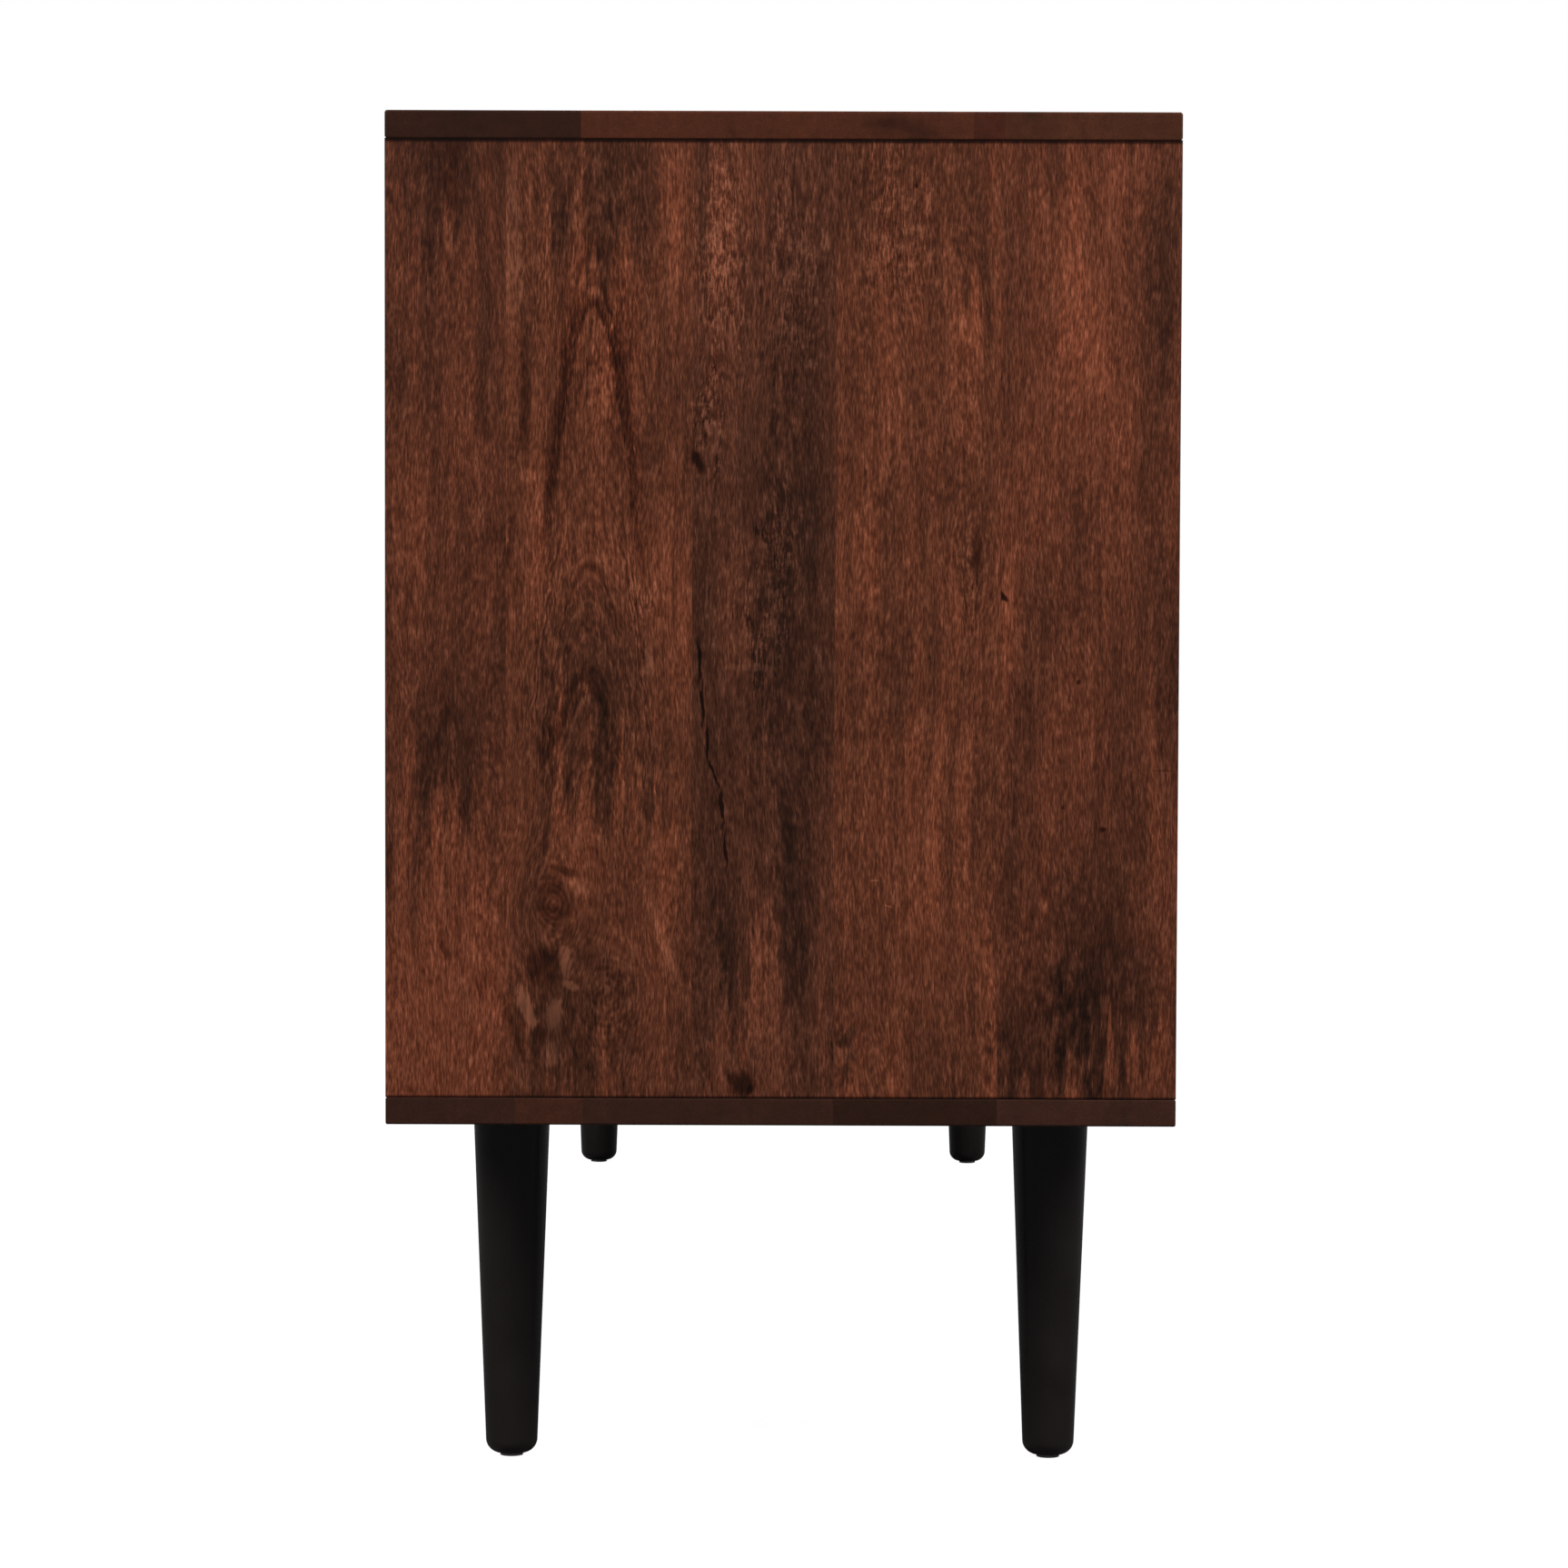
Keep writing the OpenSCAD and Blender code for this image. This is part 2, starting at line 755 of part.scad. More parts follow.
front_screw_x = box_x - 70;
front_screw_in = 12; // length of a front's screw inside the front
corner_screw_rise = 38; // of a corner screw above or below the box's middle

// The screws that hold a front to its drawer box, driven from inside, or their holes.
module front_screws(index, play = 0) {
  for (x = [-front_screw_x, front_screw_x], z = [box_z(index) + 32, box_z(index) + box_height - 18])
    translate([x, rear_face_y + box_wall, z]) pointing("-y") {
      if (play == 0) pan_screw(box_wall + front_screw_in, 8, 2);
      else translate([0, 0, -cut])
        cylinder(h = box_wall + front_screw_in + play + cut, d = screw_d + 2 * play);
    }
}

// The screws through the box's sides into its ends, or their holes.
module corner_screws(index, play = 0) {
  z = slide_z(index);
  for (y = [rear_face_y + box_wall / 2, box_rear_y - box_wall / 2],
      rise = [-corner_screw_rise, corner_screw_rise])
    translate([box_x, y, z + rise]) pointing("-x") sunk_screw(box_wall + 18, play);
}

// The bottom sheet, or the groove that it sits in.
module sheet_space(index, play = 0) {
  low_z = box_z(index) + sheet_lift;
  half_x = box_x - box_wall + sheet_groove - sheet_play + play;
  low_y = rear_face_y + box_wall - sheet_groove + sheet_play - play;
  high_y = box_rear_y - box_wall + sheet_groove - sheet_play + play;
  block([-half_x, low_y, low_z], [half_x, high_y, low_z + box_sheet]);
}

module drawer_front(index) {
  low_z = front_z(index);
  color(walnut_stain) difference() {
    block([-drawer_front_x, face_y, low_z], [drawer_front_x, rear_face_y, low_z + front_height]);
    pull_cut([0, low_z + front_height], false);
    front_screws(index, hole_play);
  }
}

module drawer_sides(index) {
  low_z = box_z(index);
  color(pale_wood) on_both_sides() difference() {
    block([box_x - box_wall, rear_face_y, low_z], [box_x, box_rear_y, low_z + box_height]);
    sheet_space(index, sheet_play);
    corner_screws(index, hole_play);
    inner_member_screws(index, hole_play);
  }
}

module drawer_ends(index) {
  low_z = box_z(index);
  color(pale_wood) difference() {
    for (low_y = [rear_face_y, box_rear_y - box_wall])
      block([box_wall - box_x, low_y, low_z],
        [box_x - box_wall, low_y + box_wall, low_z + box_height]);
    sheet_space(index, sheet_play);
    on_both_sides() corner_screws(index, hole_play);
    front_screws(index, hole_play);
  }
}

module drawer_bottom(index) color(pale_wood) sheet_space(index);

module drawer_screws(index) {
  color(zinc) {
    front_screws(index);
    on_both_sides() {
      corner_screws(index);
      inner_member_screws(index);
    }
  }
}

module drawer_front_top() drawer_front(2);
module drawer_sides_top() drawer_sides(2);
module drawer_ends_top() drawer_ends(2);
module drawer_bottom_top() drawer_bottom(2);
module drawer_screws_top() drawer_screws(2);
module drawer_front_middle() drawer_front(1);
module drawer_sides_middle() drawer_sides(1);
module drawer_ends_middle() drawer_ends(1);
module drawer_bottom_middle() drawer_bottom(1);
module drawer_screws_middle() drawer_screws(1);
module drawer_front_bottom() drawer_front(0);
module drawer_sides_bottom() drawer_sides(0);
module drawer_ends_bottom() drawer_ends(0);
module drawer_bottom_bottom() drawer_bottom(0);
module drawer_screws_bottom() drawer_screws(0);

top_panel();
bottom_panel();
side_panel_left();
side_panel_right();
partition_left();
partition_right();
back_panel();
back_panel_screws();
case_dowels();
shelf_left();
shelf_right();
shelf_pins();
leg_front_left();
leg_front_right();
leg_back_left();
leg_back_right();
leg_bolts();
leg_t_nuts();
foot_glides();
hinge_case_leaves();
hinge_case_screws();
door_catches();
catch_magnets();
catch_screws();
slide_outer_members();
slide_outer_screws();
door_left();
hinge_door_leaves_left();
hinge_pins_left();
hinge_screws_left();
strike_plate_left();
strike_screw_left();
door_right();
hinge_door_leaves_right();
hinge_pins_right();
hinge_screws_right();
strike_plate_right();
strike_screw_right();
drawer_front_top();
drawer_sides_top();
drawer_ends_top();
drawer_bottom_top();
slide_inner_members_top();
drawer_screws_top();
slide_middle_members_top();
drawer_front_middle();
drawer_sides_middle();
drawer_ends_middle();
drawer_bottom_middle();
slide_inner_members_middle();
drawer_screws_middle();
slide_middle_members_middle();
drawer_front_bottom();
drawer_sides_bottom();
drawer_ends_bottom();
drawer_bottom_bottom();
slide_inner_members_bottom();
drawer_screws_bottom();
slide_middle_members_bottom();
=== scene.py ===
# Sideboard buffet: the finishes, eased edges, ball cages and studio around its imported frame.
# Object space is in metres. Sizes written here are in millimetres, and MM turns them into metres.

import random
from math import cos, pi, radians, sin

import bmesh
import bpy
from mathutils import Matrix, Vector


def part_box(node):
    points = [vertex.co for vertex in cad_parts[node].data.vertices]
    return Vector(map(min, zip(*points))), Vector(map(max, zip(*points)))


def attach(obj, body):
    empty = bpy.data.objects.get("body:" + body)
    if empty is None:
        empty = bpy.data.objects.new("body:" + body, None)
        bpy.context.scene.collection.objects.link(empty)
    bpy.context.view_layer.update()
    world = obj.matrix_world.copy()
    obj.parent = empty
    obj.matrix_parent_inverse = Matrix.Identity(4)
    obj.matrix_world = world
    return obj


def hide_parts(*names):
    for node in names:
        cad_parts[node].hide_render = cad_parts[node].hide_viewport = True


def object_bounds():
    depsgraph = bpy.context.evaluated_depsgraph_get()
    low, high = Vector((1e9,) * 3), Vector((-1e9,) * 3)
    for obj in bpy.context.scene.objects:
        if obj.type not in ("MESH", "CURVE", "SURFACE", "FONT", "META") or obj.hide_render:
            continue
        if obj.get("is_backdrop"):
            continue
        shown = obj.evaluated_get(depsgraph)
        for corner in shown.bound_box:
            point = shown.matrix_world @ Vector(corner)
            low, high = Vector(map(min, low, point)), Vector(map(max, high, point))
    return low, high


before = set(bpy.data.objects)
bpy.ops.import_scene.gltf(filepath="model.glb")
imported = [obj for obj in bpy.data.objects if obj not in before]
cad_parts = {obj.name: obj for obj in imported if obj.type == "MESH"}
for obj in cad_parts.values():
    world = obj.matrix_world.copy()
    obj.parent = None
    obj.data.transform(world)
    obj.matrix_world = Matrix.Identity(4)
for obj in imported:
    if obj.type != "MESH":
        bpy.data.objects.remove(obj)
frame_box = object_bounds()

MM = 0.001
AXES = "XYZ"
NOISE_SPAN = (0.3, 0.7)  # a noise's values lie mostly between these two


# ---- shared helpers ----


def linear(colour):
    """An sRGB hex colour as linear red, green, blue and alpha."""
    values = [int(colour[i : i + 2], 16) / 255 for i in (1, 3, 5)]
    return [v / 12.92 if v <= 0.04045 else ((v + 0.055) / 1.055) ** 2.4 for v in values] + [1.0]


def add(tree, kind, inputs=(), **settings):
    """Adds a node, with its settings, and sets or links its inputs by number or by name."""
    node = tree.nodes.new("ShaderNode" + kind)
    for name, value in settings.items():
        setattr(node, name, value)
    for key, value in inputs.items() if isinstance(inputs, dict) else enumerate(inputs):
        if isinstance(value, bpy.types.Node):
            value = value.outputs[0]
        if isinstance(value, bpy.types.NodeSocket):
            tree.links.new(value, node.inputs[key])
        elif value is not None:
            node.inputs[key].default_value = value
    return node


def new_material(name):
    """An empty material and its node tree."""
    made = bpy.data.materials.new(name)
    made.use_nodes = True
    made.node_tree.nodes.clear()
    return made, made.node_tree


def finish_surface(tree, colour, roughness, height, depth, **fixed):
    """Ends a material: its colour, roughness and relief, and shader values that are constant.

    height is from 0 to 1 and depth is the relief's depth in millimetres."""
    sockets = {"Base Color": colour, "Roughness": roughness}
    sockets.update({name.replace("_", " "): value for name, value in fixed.items()})
    relief = {"Strength": 1.0, "Distance": depth * MM, "Height": height}
    sockets["Normal"] = add(tree, "Bump", relief)
    shader = add(tree, "BsdfPrincipled", sockets)
    add(tree, "OutputMaterial", [shader])


def paint(node, finish):
    """Gives a CAD node or a new piece one material."""
    if not node.material_slots:
        node.data.materials.append(finish)
    for place in node.material_slots:
        place.material = finish


# ---- stained mango boards ----

# What one step of darkness multiplies red, green and blue by: in pores and lines, where the
# stain soaks in, and in broad mineral clouds.
WALNUT_STEPS = ((0.33, 0.27, 0.23, 1.0), (0.36, 0.40, 0.42, 1.0))

# Stave colours that a maker would pick from one stack of stained mango.
STAVE_COLOURS = ("#572d1b", "#4e2818", "#5a2f1c", "#4f2b1c", "#5e3220", "#532c1c", "#482519")
STAVE_WIDTHS = (60, 105)
NARROWEST_STAVE = 40

# The furthest that a stave's colour moves its grain pattern, across, through and along, in mm,
# and how far the grain wanders sideways.
STAVE_SHIFT = (900, 900, 3000)
SWAY = (22, 22, 0)


def leaned(tree, face):
    """A board's face coordinates, upright and leaned by 20 degrees each way."""
    turns = {0: face}
    for lean in (-20, 20):
        wide, tall = cos(radians(lean)), sin(radians(lean))
        turns[lean] = add(tree, "CombineXYZ", [
            add(tree, "VectorMath", [face, (wide, tall, 0)], operation="DOT_PRODUCT").outputs[1],
            add(tree, "VectorMath", [face, (-tall, wide, 0)], operation="DOT_PRODUCT").outputs[1],
        ])
    return turns


def oval_radius(tree, faces, across, up, half_width, half_length, lean):
    """Distance from a placed oval's middle, as a share of its half width and half length."""
    wide, tall = cos(radians(lean)), sin(radians(lean))
    middle = (across * wide + up * tall, up * wide - across * tall)
    scale = (1 / half_width, 1 / half_length, 0)
    shift = (-middle[0] / half_width, -middle[1] / half_length, 0)
    spot = add(tree, "VectorMath", [faces[lean], scale, shift], operation="MULTIPLY_ADD")
    return add(tree, "VectorMath", [spot], operation="LENGTH").outputs["Value"]


def placed_marks(tree, faces, marks, base):
    """Soft oval marks added to a base value.

    Each is across, up, half width, half length, lean in degrees and darkening."""
    for *oval, strength in marks:
        mark = add(tree, "MapRange", [oval_radius(tree, faces, *oval), 0.3, 1.0, strength, 0.0],
                   interpolation_type="SMOOTHSTEP")
        base = add(tree, "Math", [base, mark], operation="ADD")
    return base


def placed_arches(tree, faces, arches, base):
    """Cathedral lines added to a base value, crisp below and soft above.

    Each is across, top, openness, line width, reach downwards and darkening."""
    for across, top, openness, width, reach, strength in arches:
        spot = add(tree, "VectorMath", [faces[0], (-across, -top, 0)], operation="ADD")
        place = add(tree, "SeparateXYZ", [spot])
        squared = add(tree, "Math", [place.outputs[0], place.outputs[0]], operation="MULTIPLY")
        curve = add(tree, "Math", [squared, 1 / openness, place.outputs[1]],
                    operation="MULTIPLY_ADD")
        slope = add(tree, "Math", [squared, 4 / openness**2, 1.0], operation="MULTIPLY_ADD")
        slope = add(tree, "Math", [slope], operation="SQRT")
        offset = add(tree, "Math", [curve, slope], operation="DIVIDE")
        inside = add(tree, "MapRange", [offset, -width, 0.0, 0.0, strength],
                     interpolation_type="SMOOTHSTEP")
        outside = add(tree, "MapRange", [offset, 0.0, 2.2 * width, 1.0, 0.0],
                      interpolation_type="SMOOTHSTEP")
        line = add(tree, "Math", [inside, outside], operation="MULTIPLY")
        fade = add(tree, "MapRange", [place.outputs[1], -reach, -0.5 * reach, 0.0, 1.0],
                   interpolation_type="SMOOTHSTEP")
        base = add(tree, "Math", [line, fade, base], operation="MULTIPLY_ADD")
    return base


def placed_bands(tree, faces, bands, base):
    """Growth bands nested like cathedral arches, added to a base value.

    Each is across, up, openness, band width, half width, half length and darkening."""
    for across, up, openness, band, half_width, half_length, strength in bands:
        spot = add(tree, "VectorMath", [faces[0], (-across, -up, 0)], operation="ADD")
        place = add(tree, "SeparateXYZ", [spot])
        squared = add(tree, "Math", [place.outputs[0], place.outputs[0]], operation="MULTIPLY")
        curve = add(tree, "Math", [squared, 1 / openness, place.outputs[1]],
                    operation="MULTIPLY_ADD")
        curve = add(tree, "Math", [curve, 1 / band], operation="MULTIPLY")
        tone = add(tree, "TexNoise", {"W": curve, "Scale": 1.0, "Detail": 2.0},
                   noise_dimensions="1D")
        tone = add(tree, "MapRange", [tone, 0.35, 0.65, -strength, strength], clamp=False)
        radius = oval_radius(tree, faces, across, up, half_width, half_length, 0)
        near = add(tree, "MapRange", [radius, 0.4, 1.0, 1.0, 0.0],
                   interpolation_type="SMOOTHSTEP")
        base = add(tree, "Math", [tone, near, base], operation="MULTIPLY_ADD")
    return base


def placed_knots(tree, faces, knots, base):
    """Ringed knots added to a base value.

    Each is across, up, half width, half length, lean in degrees, rings and darkening."""
    for *oval, rings, strength in knots:
        radius = oval_radius(tree, faces, *oval)
        wave = add(tree, "Math", [radius, 2 * pi * rings], operation="MULTIPLY")
        wave = add(tree, "Math", [wave], operation="COSINE")
        fade = add(tree, "MapRange", [radius, 0.1, 1.0, strength, 0.0],
                   interpolation_type="SMOOTHSTEP")
        base = add(tree, "Math", [wave, fade, base], operation="MULTIPLY_ADD")
    return base


def board_places(tree, axes):
    """A board's position in mm as (across, through, along), and its across and along values."""
    point = add(tree, "TexCoord").outputs["Object"]
    point = add(tree, "VectorMath", {0: point, "Scale": 1 / MM}, operation="SCALE")
    parts = add(tree, "SeparateXYZ", [point])
    across, through, along = [parts.outputs[AXES.index(axis)] for axis in axes]
    return add(tree, "CombineXYZ", [across, through, along]), across, along


def stretched(tree, place, across, along):
    """A position measured in cells that are across mm wide and along mm long."""
    return add(tree, "VectorMath", [place, (1 / across, 1 / across, 1 / along)],
               operation="MULTIPLY")


def glued_mango(name, node, axes, staves, steps=WALNUT_STEPS, figure=None):
    """Edge-glued mango under a satin lacquer.

    The eye sees staves that differ in tone, dense short dark pores and fine streaks along
    the grain, a soft mottle, dark mineral clouds, pale curl that runs across, and a low sheen.
    axes are the across, through and along axes. staves are (low edge in mm, colour), and steps
    are what darkness multiplies their colours by. figure holds placed marks."""
    figure = figure or {}
    finish, tree = new_material(name + "_" + node)
    low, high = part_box(node)
    place, across, along = board_places(tree, axes)
    low_across, high_across = [corner[AXES.index(axes[0])] / MM for corner in (low, high)]
    low_along = low[AXES.index(axes[2])] / MM

    # Each stave is a piece of its own tree, so its colour also moves its grain pattern.
    share = add(tree, "MapRange", [across, low_across, high_across, 0.0, 1.0])
    stave = add(tree, "ValToRGB", [share])
    ramp = stave.color_ramp
    ramp.interpolation = "CONSTANT"
    while len(ramp.elements) < len(staves):
        ramp.elements.new(1.0)
    for stop, (edge, colour) in zip(ramp.elements, staves):
        stop.position = max(0.0, (edge - low_across) / (high_across - low_across))
        stop.color = linear(colour)
    seed = add(tree, "TexWhiteNoise", [stave], noise_dimensions="3D").outputs["Color"]
    timber = add(tree, "VectorMath", [seed, STAVE_SHIFT, place], operation="MULTIPLY_ADD")

    # The grain wanders by a few millimetres over a hand's length, and flows round knots.
    sway = add(tree, "TexNoise", {
        "Vector": stretched(tree, timber, 60, 240), "Scale": 1.0, "Detail": 1.0})
    sway = add(tree, "VectorMath", [sway.outputs["Color"], (0.5, 0.5, 0.5)], operation="SUBTRACT")
    grain = add(tree, "VectorMath", [sway, SWAY, timber], operation="MULTIPLY_ADD")
    up = add(tree, "Math", [along, low_along], operation="SUBTRACT")
    for middle_across, middle_up, half_width, half_length, amount in figure.get("bends", ()):
        spot = add(tree, "CombineXYZ", [across, up, 0.0])
        scale = (1 / half_width, 1 / half_length, 0)
        shift = (-middle_across / half_width, -middle_up / half_length, 0)
        spot = add(tree, "VectorMath", [spot, scale, shift], operation="MULTIPLY_ADD")
        near = add(tree, "VectorMath", [spot], operation="LENGTH").outputs["Value"]
        near = add(tree, "MapRange", [near, 0.0, 1.0, -amount * half_width, 0.0],
                   interpolation_type="SMOOTHERSTEP")
        push = add(tree, "VectorMath", {0: spot, "Scale": near}, operation="SCALE")
        grain = add(tree, "VectorMath", [push, (1, 0, 0), grain], operation="MULTIPLY_ADD")

    # Cells in millimetres: pores' width and length, threads, mottle, growth bands and clouds.
    # Real pores are about 0.3 mm wide. They are drawn 0.8 mm wide, so that they show.
    pore = add(tree, "TexNoise", {
        "Vector": stretched(tree, grain, 0.8, 5), "Scale": 1.0, "Detail": 2.0})
    thread = add(tree, "TexNoise", {
        "Vector": stretched(tree, grain, 1.8, 18), "Scale": 1.0, "Detail": 2.0})
    mottle = add(tree, "TexNoise", {
        "Vector": stretched(tree, grain, 4.5, 10), "Scale": 1.0, "Detail": 2.0})
    streak = add(tree, "TexNoise", {
        "Vector": stretched(tree, grain, 9, 160), "Scale": 1.0, "Detail": 3.0})
    cloud = add(tree, "TexNoise", {
        "Vector": stretched(tree, grain, 42, 130), "Scale": 1.0, "Detail": 3.0})
    ripple = add(tree, "TexNoise", {
        "Vector": stretched(tree, timber, 16, 5), "Scale": 1.0, "Detail": 1.5})
    crinkle = add(tree, "TexNoise", {
        "Vector": stretched(tree, timber, 1.2, 1.8), "Scale": 1.0, "Detail": 1.0,
        "Distortion": 0.6})

    # Cut across the fibres a board is darker and smoother: only the pores' ends show.
    facing = add(tree, "TexCoord").outputs["Normal"]
    facing = add(tree, "SeparateXYZ", [facing]).outputs[AXES.index(axes[2])]
    facing = add(tree, "Math", [facing], operation="ABSOLUTE")
    end_grain = add(tree, "MapRange", [facing, 0.4, 0.9, 0.0, 1.0])
    crispness = add(tree, "MapRange", [facing, 0.4, 0.9, 1.0, 0.3])

    # Clouds of mineral stain have flame-like edges, drawn out along the fibres.
    lick = add(tree, "MapRange", [streak, *NOISE_SPAN, -32.0, 32.0], clamp=False)
    flicker = add(tree, "MapRange", [thread, *NOISE_SPAN, -16.0, 16.0], clamp=False)
    flutter = add(tree, "MapRange", [mottle, *NOISE_SPAN, -5.0, 5.0], clamp=False)
    wander = add(tree, "MapRange", [mottle, *NOISE_SPAN, -1.2, 1.2], clamp=False)
    wander = add(tree, "Math", [across, wander], operation="ADD")
    spread = add(tree, "Math", [wander, flutter], operation="ADD")
    licked = add(tree, "Math", [up, lick], operation="ADD")
    licked = add(tree, "Math", [licked, flicker], operation="ADD")
    face = leaned(tree, add(tree, "CombineXYZ", [wander, up, 0.0]))
    flame = {0: add(tree, "CombineXYZ", [spread, licked, 0.0])}

    if "curls" in figure:
        curl_where = placed_marks(tree, flame, figure["curls"], 0.0)
    else:
        curl_where = add(tree, "MapRange", [cloud, 0.44, 0.30, 0.0, 0.5],
                         interpolation_type="SMOOTHSTEP")

    # The fine texture: threads and pores in straight wood, livelier and crinkled where it curls.
    lively = add(tree, "MapRange", [curl_where, 0.0, 1.0, 1.0, 2.0])
    fine = add(tree, "MapRange", [pore, *NOISE_SPAN, -0.56, 0.56], clamp=False)
    for noise, reach in ((thread, 0.20), (mottle, 0.17)):
        tone = add(tree, "MapRange", [noise, *NOISE_SPAN, -reach, reach], clamp=False)
        fine = add(tree, "Math", [fine, tone], operation="ADD")
    fine = add(tree, "Math", [fine, lively], operation="MULTIPLY")
    wrinkled = add(tree, "MapRange", [crinkle, *NOISE_SPAN, -0.5, 0.5], clamp=False)
    fine = add(tree, "Math", [wrinkled, curl_where, fine], operation="MULTIPLY_ADD")
    curl = add(tree, "MapRange", [ripple, 0.45, 0.70, 0.1, -0.6],
               interpolation_type="SMOOTHSTEP")
    fine = add(tree, "Math", [curl, curl_where, fine], operation="MULTIPLY_ADD")
    fine = placed_bands(tree, face, figure.get("bands", ()), fine)
    lines = placed_arches(tree, face, figure.get("arches", ()), 0.0)
    lines = placed_knots(tree, face, figure.get("knots", ()), lines)
    broken = add(tree, "MapRange", [pore, *NOISE_SPAN, 0.6, 1.4], clamp=False)
    fine = add(tree, "Math", [lines, broken, fine], operation="MULTIPLY_ADD")
    fine = placed_marks(tree, face, figure.get("marks", ()), fine)
    fine = add(tree, "Math", [fine, crispness], operation="MULTIPLY")
    fine = add(tree, "Math", [fine, -0.8], operation="MAXIMUM")

    # The broad tones: growth bands, clouds and cut ends.
    broad = add(tree, "Math", [end_grain, 0.26], operation="MULTIPLY")
    for noise, reach in ((streak, 0.34), (cloud, 0.28)):
        tone = add(tree, "MapRange", [noise, *NOISE_SPAN, -reach, reach], clamp=False)
        broad = add(tree, "Math", [tone, crispness, broad], operation="MULTIPLY_ADD")
    if "clouds" in figure:
        stains = placed_marks(tree, flame, figure["clouds"], 0.0)
        patchy = add(tree, "MapRange", [mottle, *NOISE_SPAN, 0.6, 1.4], clamp=False)
        broad = add(tree, "Math", [stains, patchy, broad], operation="MULTIPLY_ADD")
    else:
        stains = add(tree, "MapRange", [cloud, 0.60, 0.74, 0.0, 0.6],
                     interpolation_type="SMOOTHSTEP")
        broad = add(tree, "Math", [broad, stains], operation="ADD")
    broad = add(tree, "Math", [broad, -0.6], operation="MAXIMUM")

    pores = add(tree, "Gamma", [steps[0], fine])
    stain = add(tree, "Gamma", [steps[1], broad])
    colour = add(tree, "VectorMath", [stave, pores], operation="MULTIPLY")
    colour = add(tree, "VectorMath", [colour, stain], operation="MULTIPLY")
    roughness = add(tree, "MapRange", [pore, *NOISE_SPAN, 0.36, 0.46])
    height = add(tree, "MapRange", [pore, 0.45, 0.75, 1.0, 0.0])
    finish_surface(tree, colour, roughness, height, depth=0.015, IOR=1.5,
                   Specular_IOR_Level=0.18)
    return finish


